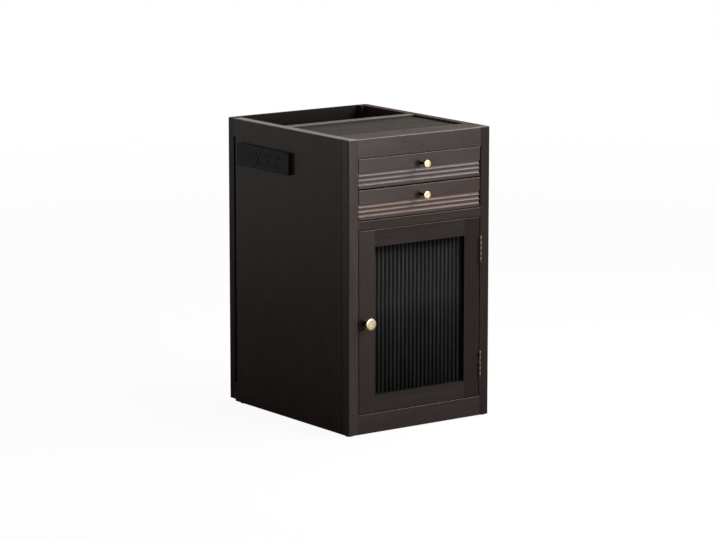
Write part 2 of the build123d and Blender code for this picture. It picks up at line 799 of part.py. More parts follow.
for side in (-1, 1):
    outer = side * half_width
    post = block(outer, side * post_inner, post_front_y, cabinet_depth, back_bottom, cabinet_height)
    rear_edge = lambda p: near(p.X, outer) and near(p.Y, cabinet_depth)
    post = round_edges(post, outer_corner_radius, rear_edge)
    rear_stop = post_front_y + edge_margin
    on_top = lambda p: near(p.Z, cabinet_height) and p.Y > rear_stop and abs(p.X) > post_inner + edge_margin
    post = round_edges(post, top_edge_radius, on_top)
    post -= block(
        side * post_inner, side * (post_inner + back_rebate), back_front_y, cabinet_depth,
        back_bottom, cabinet_height,
    )
    nodes.setdefault("rear_posts", []).append(drilled(post, dowel_holes + back_screw_holes))

back = block(-inner_half, inner_half, back_front_y, cabinet_depth, back_bottom, cabinet_height)
cable_hole_z = middle_rail_top + cable_hole_height
back -= rod((cable_hole_x, back_front_y, cable_hole_z), (0, 1, 0), cable_hole_radius, back_thickness)
nodes["back_panel"] = [drilled(back, back_screw_holes)]

rear_rail = block(
    -post_inner, post_inner, back_front_y - rear_rail_depth, back_front_y,
    back_bottom, bottom_rail_top - board_thickness,
)
nodes["rear_bottom_rail"] = [drilled(rear_rail, dowel_holes)]

# Shelf and floor glides
shelf_half = inner_half - shelf_side_clearance
nodes["shelf"] = [block(
    -shelf_half, shelf_half, shelf_front_y, post_front_y - shelf_rear_clearance,
    shelf_height, shelf_height + board_thickness,
)]
for side in (-1, 1):
    for y in (glide_front_y, cabinet_depth - glide_rear_inset):
        glide = rod((side * side_line, y, 0), (0, 0, 1), glide_radius, glide_height)
        nodes.setdefault("floor_glides", []).append(glide)

# Door frame, glass and beads
glass_half = front_half - door_stile_width
glass_bottom = door_bottom + door_rail_height
glass_top = door_top - door_rail_height
rebate_box = block(
    -glass_half - rebate_width, glass_half + rebate_width, glass_recess, door_thickness,
    glass_bottom - rebate_width, glass_top + rebate_width,
)
tenon_front = (glass_recess - tenon_thickness) / 2
door_knob_x = -front_half + door_knob_inset
door_knob_hole = knob_screw(door_knob_x, door_knob_height, door_thickness, grow=screw_clearance)
door_screws.append(knob_screw(door_knob_x, door_knob_height, door_thickness))
nodes["door_knob"] = [knob(door_knob_x, door_knob_height, door_knob_radius, door_knob_projection)]

tenons = []
for low in (door_bottom, glass_top):
    high = low + door_rail_height
    for side in (-1, 1):
        place = (side * glass_half, side * (glass_half + tenon_length), tenon_front)
        tenons.append((*place, tenon_front + tenon_thickness, low + tenon_edge, high - tenon_edge))


def mortise(tenon):
    """The socket of a tenon, larger by the clearance on each face."""
    x0, x1, y0, y1, z0, z1 = tenon
    extra = tenon_clearance if x1 > x0 else -tenon_clearance
    return block(
        x0, x1 + extra, y0 - tenon_clearance, y1 + tenon_clearance,
        z0 - tenon_clearance, z1 + tenon_clearance,
    )


for name, side in (("door_left_stile", -1), ("door_right_stile", 1)):
    stile = block(side * front_half, side * glass_half, 0, door_thickness, door_bottom, door_top)
    outer = side * front_half
    stile = round_edges(stile, small_edge_radius, lambda p: near(p.X, outer) and near(p.Y, 0))
    stile -= rebate_box
    for tenon in tenons:
        if tenon[0] * side > 0:
            stile -= mortise(tenon)
    if side > 0:
        for pocket in door_leaf_pockets:
            stile -= pocket
    nodes[name] = [drilled(stile, door_screw_holes + [door_knob_hole])]

for name, low in (("door_bottom_rail", door_bottom), ("door_top_rail", glass_top)):
    rail = block(-glass_half, glass_half, 0, door_thickness, low, low + door_rail_height)
    rail -= rebate_box
    for tenon in tenons:
        if near(tenon[4], low + tenon_edge):
            rail += block(*tenon)
    nodes[name] = [drilled(rail, door_screw_holes)]

pane_half = glass_half + rebate_width - glass_edge_clearance
pane_bottom = glass_bottom - rebate_width + glass_edge_clearance
pane_top = glass_top + rebate_width - glass_edge_clearance
flute_count = round(2 * pane_half / flute_pitch)
flute_width = 2 * pane_half / flute_count
pane_edges = []
for index in range(flute_count):
    x = -pane_half + index * flute_width
    valley = glass_recess + flute_depth
    crest = (x + flute_width / 2, glass_recess)
    pane_edges.append(ThreePointArc((x, valley), crest, (x + flute_width, valley)))
pane_back = glass_recess + glass_thickness
pane_edges.append(Line((pane_half, glass_recess + flute_depth), (pane_half, pane_back)))
pane_edges.append(Line((pane_half, pane_back), (-pane_half, pane_back)))
pane_edges.append(Line((-pane_half, pane_back), (-pane_half, glass_recess + flute_depth)))
pane_face = make_face(pane_edges)
nodes["door_glass"] = [Pos(0, 0, pane_bottom) * extrude(pane_face, pane_top - pane_bottom, dir=(0, 0, 1))]

bead_out = rebate_width - bead_clearance
for side in (-1, 1):
    nodes.setdefault("door_glass_beads", []).append(block(
        side * glass_half, side * (glass_half + bead_out), pane_back, door_thickness,
        glass_bottom - bead_out, glass_top + bead_out,
    ))
for low in (glass_bottom - bead_out, glass_top):
    nodes["door_glass_beads"].append(block(
        -glass_half, glass_half, pane_back, door_thickness, low, low + bead_out
    ))

# Drawers
reed_radius = (reed_width ** 2 / 4 + reed_depth ** 2) / (2 * reed_depth)
box_inner = drawer_half - drawer_side_thickness
box_back_y = drawer_front_thickness + drawer_box_length
for level, front_bottom in (("upper", upper_front_bottom), ("lower", lower_front_bottom)):
    front_top = front_bottom + drawer_front_height
    knob_z = front_top - drawer_knob_drop
    box_bottom = front_bottom + drawer_box_lift
    box_top = box_bottom + drawer_box_height
    floor_bottom = box_bottom + drawer_bottom_lift
    floor_top = floor_bottom + drawer_bottom_thickness
    floor_out = box_inner + drawer_bottom_tongue
    floor_front_y = drawer_front_thickness - drawer_bottom_tongue
    floor_groove = block(
        -floor_out, floor_out, floor_front_y, box_back_y,
        floor_bottom - slot_clearance / 2, floor_top + slot_clearance / 2,
    )

    front = block(-front_half, front_half, 0, drawer_front_thickness, front_bottom, front_top)
    front = round_edges(front, small_edge_radius, lambda p: near(p.Y, 0))
    for index in range(reed_count):
        centre = (
            -front_half - cut_overrun, reed_depth - reed_radius,
            front_bottom + reed_first_height + index * reed_pitch,
        )
        front -= rod(centre, (1, 0, 0), reed_radius, 2 * (front_half + cut_overrun))
    front -= floor_groove
    front -= knob_screw(0, knob_z, drawer_front_thickness, grow=screw_clearance)
    nodes[f"{level}_drawer_front"] = [front]

    for side in (-1, 1):
        board = block(
            side * box_inner, side * drawer_half, drawer_front_thickness, box_back_y,
            box_bottom, box_top,
        )
        board = drilled(board - floor_groove, drawer_side_holes[level])
        nodes.setdefault(f"{level}_drawer_sides", []).append(board)
    back_y = box_back_y - drawer_back_thickness
    drawer_back = block(-box_inner, box_inner, back_y, box_back_y, floor_top, box_top)
    nodes[f"{level}_drawer_back"] = [drawer_back]
    drawer_floor = block(-floor_out, floor_out, floor_front_y, box_back_y, floor_bottom, floor_top)
    nodes[f"{level}_drawer_bottom"] = [drawer_floor]
    nodes[f"{level}_drawer_screws"].append(knob_screw(0, knob_z, drawer_front_thickness))
    nodes[f"{level}_drawer_knob"] = [knob(0, knob_z, drawer_knob_radius, drawer_knob_projection)]

nodes["cabinet_screws"] = cabinet_screws
nodes["door_screws"] = door_screws

# Write one file for each node
os.makedirs("parts", exist_ok=True)
for name, pieces in sorted(nodes.items()):
    solids = [solid for piece in pieces for solid in (origin_shift * piece).solids()]
    shape = solids[0] if len(solids) == 1 else Compound(solids)
    shape.label = name
    export_step(shape, f"parts/{name}.step")
print(len(nodes), "nodes written")
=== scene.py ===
import math
import bmesh
import bpy
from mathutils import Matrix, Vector


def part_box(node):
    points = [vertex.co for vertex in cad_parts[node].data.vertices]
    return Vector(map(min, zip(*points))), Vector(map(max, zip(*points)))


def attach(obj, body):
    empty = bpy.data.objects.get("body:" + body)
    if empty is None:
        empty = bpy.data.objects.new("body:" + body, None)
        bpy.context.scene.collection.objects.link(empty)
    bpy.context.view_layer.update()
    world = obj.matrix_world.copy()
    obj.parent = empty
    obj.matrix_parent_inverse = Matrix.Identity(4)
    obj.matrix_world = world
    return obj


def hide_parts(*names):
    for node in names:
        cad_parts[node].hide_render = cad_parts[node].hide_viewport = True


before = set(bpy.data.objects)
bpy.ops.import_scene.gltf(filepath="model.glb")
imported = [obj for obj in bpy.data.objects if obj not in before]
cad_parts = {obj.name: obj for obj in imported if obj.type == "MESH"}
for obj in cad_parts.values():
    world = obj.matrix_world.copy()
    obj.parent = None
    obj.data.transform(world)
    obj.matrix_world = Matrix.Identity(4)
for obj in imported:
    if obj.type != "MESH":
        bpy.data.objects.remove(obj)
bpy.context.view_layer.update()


# The carcass: side panels, front frame, rear posts, tray top and well. They are solid
# boards with a dark espresso stain under a thin satin lacquer, joined with hidden dowels,
# with the stain on their outer edges thinned a little by hand and those edges painted
# lighter: partly wear, partly a painted highlight.
class Value:
    """A number, place or colour in a tree of nodes. Numbers can be used in plain sums."""

    def __init__(self, tree, socket):
        self.tree = tree
        self.socket = socket

    def sum(self, operation, first, second=0.0):
        return self.tree.node("ShaderNodeMath", {"operation": operation}, {0: first, 1: second})

    def __add__(self, other):
        return self.sum("ADD", self, other)

    def __radd__(self, other):
        return self.sum("ADD", other, self)

    def __sub__(self, other):
        return self.sum("SUBTRACT", self, other)

    def __rsub__(self, other):
        return self.sum("SUBTRACT", other, self)

    def __mul__(self, other):
        return self.sum("MULTIPLY", self, other)

    def __rmul__(self, other):
        return self.sum("MULTIPLY", other, self)

    def __truediv__(self, other):
        return self.sum("DIVIDE", self, other)

    def size(self):
        return self.sum("ABSOLUTE", self)

    def part(self, axis):
        """One coordinate of a place or direction."""
        return self.tree.node("ShaderNodeSeparateXYZ", {}, {0: self}, output=axis)

    def between(self, low, high):
        """0 below the low value, 1 above the high value and a smooth rise from one to the other."""
        return self.tree.node(
            "ShaderNodeMapRange", {"interpolation_type": "SMOOTHSTEP"},
            {"Value": self, "From Min": low, "From Max": high},
        )


class Tree:
    """A tree of nodes. Any node of it comes from the one method below."""

    def __init__(self, nodes_and_links):
        self.inside = nodes_and_links

    def node(self, kind, settings=None, sockets=None, output=0):
        made = self.inside.nodes.new(kind)
        for key, value in (settings or {}).items():
            setattr(made, key, value)
        for key, value in (sockets or {}).items():
            if isinstance(value, Value):
                self.inside.links.new(value.socket, made.inputs[key])
            else:
                made.inputs[key].default_value = value
        return Value(self, made.outputs[output])

    def join(self, value, socket):
        self.inside.links.new(value.socket, socket)


class Finish(Tree):
    """The finish of a piece: a material and the patterns that vary it."""

    def __init__(self, name, **surface):
        self.material = bpy.data.materials.new(name)
        self.material.use_nodes = True
        super().__init__(self.material.node_tree)
        self.surface = self.inside.nodes["Principled BSDF"]
        for key, value in surface.items():
            self.surface.inputs[key.replace("_", " ")].default_value = value

    def place(self, scale=(1, 1, 1), shift=(0, 0, 0)):
        """The place on the piece, in metres, stretched and shifted."""
        here = self.node("ShaderNodeTexCoord", output="Object")
        return self.node("ShaderNodeMapping", {}, {"Vector": here, "Scale": scale, "Location": shift})

    def noise(self, where, scale, detail=3.0, roughness=0.5, distortion=0.0):
        sockets = {"Vector": where, "Scale": scale, "Detail": detail}
        sockets.update({"Roughness": roughness, "Distortion": distortion})
        return self.node("ShaderNodeTexNoise", {}, sockets)

    def blend(self, mask, below, above):
        return self.node(
            "ShaderNodeMix", {"data_type": "RGBA"}, {"Factor": mask, 6: below, 7: above}, output=2
        )

    def bump(self, height, depth, strength=1.0):
        made = self.node("ShaderNodeBump", {}, {"Height": height, "Distance": depth, "Strength": strength})
        self.link(made, "Normal")

    def link(self, value, socket):
        self.join(value, self.surface.inputs[socket])


def dress(node, finish, ease=0.0, steps=2):
    """Give a piece its finish and, where it has sharp edges, ease them."""
    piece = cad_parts[node]
    piece.data.materials.clear()
    piece.data.materials.append(finish.material)
    if ease:
        weld = piece.modifiers.new("weld", "WELD")
        weld.merge_threshold = 0.00001
        edge = piece.modifiers.new("eased_edges", "BEVEL")
        edge.width = ease
        edge.segments = steps
        edge.limit_method = "ANGLE"
        edge.angle_limit = math.radians(35)
        edge.harden_normals = True


espresso = (0.0265, 0.0192, 0.0172)
espresso_light = (0.0430, 0.0325, 0.0295)
espresso_deep = (0.0110, 0.0075, 0.0066)
espresso_warm = (0.0340, 0.0205, 0.0175)
# The next three colours are painted light and shade: a lighter edge that is partly wear and partly a
# painted highlight, a lighter flute that is a painted highlight, and a near-black painted shade.
espresso_wear_and_highlight = (0.2100, 0.1620, 0.1420)
espresso_flute_highlight = (0.1150, 0.0900, 0.0830)
espresso_painted_shade = (0.0035, 0.0025, 0.0022)
grain_stretch = 0.045
edge_wear_light_from, edge_wear_light_to = 0.0003, 0.0018
gap_edge_from, gap_edge_to = 0.0004, 0.0009
gap_dark_at = 0.0003
flute_from, flute_to = 0.0002, 0.0010
corner_shade_from, corner_shade_to = 0.002, 0.009
top_from, top_to = 0.0001, 0.0008


def stained_wood(
    node, along, worn_and_lit_faces="", tone=1.0, gloss=0.26, shine=0.35, ease=0.0, cast=(1, 1, 1), matt_top=0.0,
    shaded_gap_faces="", fluted=False, corner_shade=0.0,
):
    """Stained wood whose grain runs along one axis.

    Its listed faces, such as -x and +z, meet in edges that are painted lighter: partly thinner
    stain from wear, partly a painted highlight. Faces beside the openings for doors and drawers
    are painted darker behind the front, a painted shade, and a fluted front is painted lighter
    behind its face, a painted highlight on the flutes. A painted shade darkens a band along the
    front edge, standing in for the dark reflection at the corner, and the top may be matt.
    """
    finish = Finish(node, Specular_IOR_Level=shine)
    stains = (
        espresso, espresso_light, espresso_deep, espresso_warm, espresso_wear_and_highlight, espresso_flute_highlight, espresso_painted_shade
    )
    base, light, deep, warm, bare_and_lit, flute_highlight, painted_shade = (
        tuple(tone * part * share for part, share in zip(stain, cast)) + (1,) for stain in stains
    )
    here = finish.place()
    low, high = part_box(node)

    def behind(face):
        """How far a place lies behind one face of the piece."""
        axis = "xyz".index(face[1])
        spot = here.part(axis)
        return high[axis] - spot if face[0] == "+" else spot - low[axis]

    seed = sum(map(ord, node)) * 0.137
    stretch = [1.0, 1.0, 1.0]
    stretch["xyz".index(along)] = grain_stretch
    grain = finish.place(stretch, (seed % 3.1, seed % 2.3, seed % 1.7))
    figure = finish.noise(grain, 75, 5, 0.62, 0.6).between(0.30, 0.72)
    streaks = finish.noise(grain, 420, 3, 0.6).between(0.35, 0.75)
    pores = finish.noise(grain, 1300, 1, 0.5).between(0.62, 0.74)
    cloud = finish.noise(finish.place(shift=(seed % 4.3, 0, 0)), 6.5, 2).between(0.35, 0.7)
    colour = finish.blend(figure * 0.7, base, light)
    colour = finish.blend(streaks * 0.28, colour, deep)
    colour = finish.blend(cloud * 0.5, colour, warm)
    colour = finish.blend(pores * 0.5, colour, deep)
    # Edges where the listed faces meet are painted lighter: partly wear, partly a painted highlight.
    if worn_and_lit_faces:
        close = {}
        for face in worn_and_lit_faces.split():
            near = 1 - behind(face).between(edge_wear_light_from, edge_wear_light_to)
            axis = face[1]
            close[axis] = close[axis] + near if axis in close else near
        pairs = [(a, b) for a in close for b in close if a < b]
        total = sum(close[a] * close[b] for a, b in pairs)
        wear_light_patches = finish.noise(here, 160, 3).between(0.30, 0.62)
        colour = finish.blend(total * (0.45 + 0.45 * wear_light_patches), colour, bare_and_lit)
    # Painted highlight: the parts of a fluted front that lie behind its face, the flutes among them, are
    # painted lighter.
    if fluted:
        colour = finish.blend(0.9 * behind("-y").between(flute_from, flute_to), colour, flute_highlight)
    # Painted shade: faces beside the openings are painted near-black behind the front.
    for face in shaded_gap_faces.split():
        at_edge = 1 - behind(face).between(gap_edge_from, gap_edge_to)
        colour = finish.blend(at_edge * behind("-y").between(0.0, gap_dark_at), colour, painted_shade)
    # Painted shade: a dark band along the front edge stands in for the dark reflection at the corner.
    if corner_shade:
        colour = finish.blend(corner_shade * (1 - behind("-y").between(corner_shade_from, corner_shade_to)), colour, painted_shade)
    finish.link(colour, "Base Color")
    smudge = finish.noise(here, 22, 2).between(0.3, 0.75)
    rough = gloss + 0.07 * streaks + 0.06 * smudge + 0.12 * pores
    if matt_top:
        rough = rough + matt_top * (1 - behind("+z").between(top_from, top_to))
    finish.link(rough, "Roughness")
    finish.bump(0.35 * streaks - pores, 0.00012, 0.5)
    dress(node, finish, ease)


side_cast = (1.14, 0.95, 0.84)
stained_wood("left_side_panel", "z", "-x +z", shine=0.15, cast=side_cast, corner_shade=0.75)
stained_wood(
    "right_side_panel", "z", "+x +z", shine=0.15, cast=side_cast, corner_shade=0.75, matt_top=0.5
)
stained_wood("rear_posts", "z", "-x +x +y +z", tone=0.7, shine=0.10, cast=side_cast, matt_top=0.5)
stained_wood("left_front_stile", "z", "-y +z", shine=0.22, cast=(1.02, 1.0, 1.0), shaded_gap_faces="+x")
# The right stile and the middle and bottom rails are stained darker than the left stile and the top rail:
# painted shade, for the sheen that falls off to the right and lower down.
stained_wood("right_front_stile", "z", "+x -y +z", tone=0.60, shine=0.08, shaded_gap_faces="-x")
stained_wood("top_front_rail", "x", "-y +z", shine=0.28, matt_top=0.5, shaded_gap_faces="-z")
stained_wood("middle_front_rail", "x", "-y +z", tone=0.76, shine=0.13, shaded_gap_faces="-z +z")
stained_wood("bottom_front_rail", "x", "-y +z", tone=0.78, shine=0.16, shaded_gap_faces="+z")
stained_wood("divider_panel", "x", "-y +y +z", ease=0.0005, matt_top=0.25)
for node in ("middle_panel", "bottom_panel", "shelf", "rear_bottom_rail"):
    stained_wood(node, "x", tone=0.7, gloss=0.45, shine=0.2)

# The tray at the top is one lowered board, and the board in front of it lies level with the
# rails. Both have a duller, slightly green finish.
stained_wood("top_front_board", "x", "+y +z", gloss=0.62, shine=0.12, cast=(1.0, 1.1, 0.95))
stained_wood("tray_board", "x", tone=0.85, gloss=0.62, shine=0.05, cast=(1.0, 1.14, 0.95))


# The back panel is a thin board with a plain dark coat, screwed to the rear posts. Its coat is
# painted darker still, a painted shade for the shaded well behind the tray.
# Its hole lets the lead of the socket strip out.
def coated_board(node):
    finish = Finish(node, Specular_IOR_Level=0.08)
    speckle = finish.noise(finish.place(), 900, 2).between(0.35, 0.7)
    cloud = finish.noise(finish.place(), 9, 2).between(0.3, 0.7)
    # Painted shade: these coat colours are set darker still for the shaded well.
    colour = finish.blend(speckle * 0.5, (0.0085, 0.0075, 0.0062, 1), (0.014, 0.012, 0.010, 1))
    finish.link(finish.blend(cloud * 0.3, colour, (0.0065, 0.0058, 0.0050, 1)), "Base Color")
    finish.link(0.52 + 0.1 * speckle, "Roughness")
    finish.bump(speckle, 0.00008, 0.4)
    dress(node, finish, 0.0003)


coated_board("back_panel")


# Dowels and the packing strips behind the slides are plain pale hardwood, left clear.
# The drawer boxes are the same wood, with thin plywood floors let into grooves.
def pale_wood(node, along, light=1.0):
    finish = Finish(node, Specular_IOR_Level=0.35)
    stretch = [1.0, 1.0, 1.0]
    stretch["xyz".index(along)] = 0.05
    grain = finish.place(stretch, (0.3, 0.7, 0.1))
    figure = finish.noise(grain, 95, 5, 0.6, 0.5).between(0.3, 0.75)
    fleck = finish.noise(grain, 900, 2).between(0.58, 0.74)
    bright = (0.52 * light, 0.36 * light, 0.215 * light, 1)
    brown = (0.36 * light, 0.225 * light, 0.120 * light, 1)
    colour = finish.blend(figure, bright, brown)
    finish.link(finish.blend(fleck * 0.5, colour, (0.20, 0.115, 0.055, 1)), "Base Color")
    finish.link(0.46 + 0.12 * figure + 0.1 * fleck, "Roughness")
    finish.bump(figure - fleck, 0.0001, 0.4)
    dress(node, finish, 0.0004)


pale_wood("carcass_dowels", "x")
pale_wood("slide_packing_strips", "y", 0.85)
for level in ("upper", "lower"):
    pale_wood(f"{level}_drawer_sides", "y")
    pale_wood(f"{level}_drawer_back", "x")
    pale_wood(f"{level}_drawer_bottom", "x", 1.15)


# The drawer fronts are stained like the frame. Three hollow flutes are cut along the lower
# part of each, with their ridges left as wide as the cutter's step allows.
for level, cast in (("upper", (1.0, 0.98, 1.02)), ("lower", (1.10, 0.92, 0.84))):
    stained_wood(
        f"{level}_drawer_front", "x", "-y +z", tone=0.80, gloss=0.28, shine=0.36, cast=cast,
        shaded_gap_faces="-x +x -z +z", fluted=True,
    )


# Slides, catch strike, shelf pins and screws are steel with a thin bright zinc plating,
# pressed from strip or turned, and a little dull where they rub.
def plated_steel(node, tone=0.62, grain=(1.0, 1.0, 1.0)):
    finish = Finish(node, Metallic=1.0)
    spangle = finish.noise(finish.place(), 420, 3).between(0.3, 0.7)
    rub = finish.noise(finish.place(grain), 1600, 2).between(0.4, 0.7)
    bright = (tone, tone, tone * 1.02, 1)
    dull = (tone * 0.72, tone * 0.73, tone * 0.76, 1)
    finish.link(finish.blend(spangle * 0.6, bright, dull), "Base Color")
    finish.link(0.26 + 0.12 * spangle + 0.1 * rub, "Roughness")
    finish.bump(rub, 0.00003, 0.3)
    dress(node, finish, 0.00015, 1)


for node in ("slide_cabinet_members", "upper_slide_middle_members", "lower_slide_middle_members"):
    plated_steel(node, 0.62, (1.0, 0.05, 1.0))
for node in ("upper_slide_drawer_members", "lower_slide_drawer_members"):
    plated_steel(node, 0.66, (1.0, 0.05, 1.0))
for node in ("catch_strike_plate", "shelf_pins", "cabinet_screws", "back_panel_screws", "door_screws"):
    plated_steel(node)
for node in ("upper_drawer_screws", "lower_drawer_screws", "socket_screws"):
    plated_steel(node)


# The door: two stiles and two rails joined by tenons, with a rebate for the glass that is
# closed from behind by four beads.
# The door's boards are stained darker than the frame's, the right stile darkest: painted shade, for the
# lesser sheen on the door and its fall to the right.
stained_wood("door_left_stile", "z", "-y +z", tone=0.72, gloss=0.30, shine=0.15, shaded_gap_faces="-x -z +z")
stained_wood("door_right_stile", "z", "-y +z", tone=0.52, gloss=0.30, shine=0.07, shaded_gap_faces="+x -z +z")
stained_wood("door_top_rail", "x", "-y +z", tone=0.62, gloss=0.30, shine=0.10, shaded_gap_faces="+z")
stained_wood("door_bottom_rail", "x", tone=0.66, gloss=0.30, shine=0.13, shaded_gap_faces="-z")
stained_wood("door_glass_beads", "z", ease=0.0003)


# The door glass is one pane of dark smoked glass, rolled with upright convex flutes on its
# front. It sits loose in the rebate between the frame and the beads.
flute_count = 24
flute_depth = 0.0015
flute_faces = 12
# Painted shade and painted highlight: the colours of the flutes' valleys and crests.
valley_shade_colour = (0.004, 0.0043, 0.004, 1)
crest_highlight_colour = (0.056, 0.059, 0.055, 1)
glass_low, glass_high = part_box("door_glass")

flute_rule = bpy.data.node_groups.new("fluted_pane", "GeometryNodeTree")
for name, kind in (
    ("Geometry", "NodeSocketGeometry"), ("Width", "NodeSocketFloat"), ("Height", "NodeSocketFloat"),
    ("Thickness", "NodeSocketFloat"), ("Flutes", "NodeSocketInt"), ("Faces per flute", "NodeSocketInt"),
    ("Flute depth", "NodeSocketFloat"), ("Middle", "NodeSocketVector"), ("Finish", "NodeSocketMaterial"),
):
    flute_rule.interface.new_socket(name, in_out="INPUT", socket_type=kind)
flute_rule.interface.new_socket("Geometry", in_out="OUTPUT", socket_type="NodeSocketGeometry")

flutes = Tree(flute_rule)
entry = flute_rule.nodes.new("NodeGroupInput")
given = {socket.name: Value(flutes, socket) for socket in entry.outputs if socket.name}
across = given["Flutes"] * given["Faces per flute"] + 1
pane_size = flutes.node(
    "ShaderNodeCombineXYZ", {}, {"X": given["Width"], "Y": given["Thickness"], "Z": given["Height"]}
)
pane = flutes.node(
    "GeometryNodeMeshCube", {}, {"Size": pane_size, "Vertices X": across, "Vertices Y": 2, "Vertices Z": 2}
)
spot = flutes.node("GeometryNodeInputPosition")
turn = (spot.part("X") / given["Width"] + 0.5) * given["Flutes"]
phase = turn.sum("FRACT", turn) * 2 - 1
fall = phase * phase * given["Flute depth"]
front_only = turn.sum("LESS_THAN", spot.part("Y"), 0.0)
shift = flutes.node("ShaderNodeCombineXYZ", {}, {"Y": fall * front_only})
moved = flutes.node("GeometryNodeSetPosition", {}, {"Geometry": pane, "Offset": shift})
facing = flutes.node("GeometryNodeInputNormal").part("Y")
front_faces = turn.sum("LESS_THAN", facing, -0.5)
smooth = flutes.node(
    "GeometryNodeSetShadeSmooth", {"domain": "FACE"}, {"Geometry": moved, "Selection": front_faces}
)
seated = flutes.node(
    "GeometryNodeTransform", {}, {"Geometry": smooth, "Translation": given["Middle"]}
)
real = flutes.node("GeometryNodeRealizeInstances", {}, {"Geometry": seated})
painted = flutes.node("GeometryNodeSetMaterial", {}, {"Geometry": real, "Material": given["Finish"]})
flutes.join(painted, flute_rule.nodes.new("NodeGroupOutput").inputs[0])

smoked = Finish("smoked_fluted_glass", IOR=1.12, Specular_IOR_Level=0.2, Transmission_Weight=0.55)
# The pane's colour is painted light and shade: lighter on the crests of its flutes and darker in their
# valleys, a painted highlight and painted shade for the light that the flutes catch, in patches, and
# darker towards the top, a painted shade.
round_trip = (smoked.place().part("X") - glass_low.x) * (flute_count / (glass_high.x - glass_low.x))
from_crest = (round_trip.sum("FRACT", round_trip) - 0.5).size() * 2
crest_light_patches = smoked.noise(smoked.place((1, 1, 0.2)), 55, 3).between(0.3, 0.7)
height_share = (smoked.place().part("Z") - glass_low.z) / (glass_high.z - glass_low.z)
painted_crest_light = (1 - from_crest.between(0.15, 0.85)) * (0.65 + 0.35 * crest_light_patches) * (1 - 0.4 * height_share)
smoked.link(smoked.blend(painted_crest_light, valley_shade_colour, crest_highlight_colour), "Base Color")
haze = smoked.noise(smoked.place((1, 1, 0.3)), 60, 3).between(0.35, 0.75)
smoked.link(0.38 + 0.08 * haze, "Roughness")


def made_by_rule(name, group, values):
    """The plain mesh that a rule's tree gives for named values."""
    holder = bpy.data.objects.new(name, bpy.data.meshes.new(name))
    bpy.context.scene.collection.objects.link(holder)
    rule = holder.modifiers.new("rule", "NODES")
    rule.node_group = group
    keys = {item.name: item.identifier for item in group.interface.items_tree if item.in_out == "INPUT"}
    for key, value in values.items():
        rule[keys[key]] = value
    bpy.context.view_layer.update()
    seen = holder.evaluated_get(bpy.context.evaluated_depsgraph_get())
    mesh = bpy.data.meshes.new_from_object(seen)
    holder.modifiers.remove(rule)
    holder.data = mesh
    return holder


glass_size = glass_high - glass_low
door_pane = made_by_rule("fluted_pane", flute_rule, {
    "Width": glass_size.x, "Height": glass_size.z, "Thickness": glass_size.y,
    "Flutes": flute_count, "Faces per flute": flute_faces, "Flute depth": flute_depth,
    "Middle": (glass_low + glass_high) / 2, "Finish": smoked.material,
})
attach(door_pane, "door")
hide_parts("door_glass")


# The knobs are turned from solid brass: a round foot, a waisted stem and a flat disc with
# two fine rings cut in its face. The disc is brushed and lacquered, and the foot and stem
# behind it are painted dark, a painted shade for the shadow that the disc throws on them.
def brushed_brass(name, disc_back):
    """Pale brushed brass in front of a place along y, and a dark painted shade behind it."""
    finish = Finish(name, Metallic=1.0)
    drag = finish.noise(finish.place((1, 0.2, 1)), 1500, 3).between(0.3, 0.7)
    stain = finish.noise(finish.place(), 180, 2).between(0.45, 0.8)
    brass = finish.blend(drag * 0.35, (0.70, 0.60, 0.37, 1), (0.58, 0.46, 0.26, 1))
    brass = finish.blend(stain * 0.25, brass, (0.62, 0.47, 0.24, 1))
    # Painted shade: the foot and stem behind the disc get this dark colour for the disc's shadow.
    stem_shade = finish.blend(drag * 0.5, (0.050, 0.034, 0.023, 1), (0.028, 0.018, 0.012, 1))
    behind_disc = finish.place().part("Y").between(disc_back - 0.0002, disc_back + 0.0004)
    finish.link(finish.blend(behind_disc, brass, stem_shade), "Base Color")
    finish.link(0.30 + 0.12 * drag + 0.08 * stain, "Roughness")
    finish.bump(drag, 0.00003, 0.35)
    return finish.material


turned_sides = 96
curve_steps = 8
foot_height = 0.0021
foot_curve = 0.0045
neck_curve = 0.0052
neck_curve_start = 0.0055
groove_places = (0.62, 0.56)
groove_depth = 0.00022


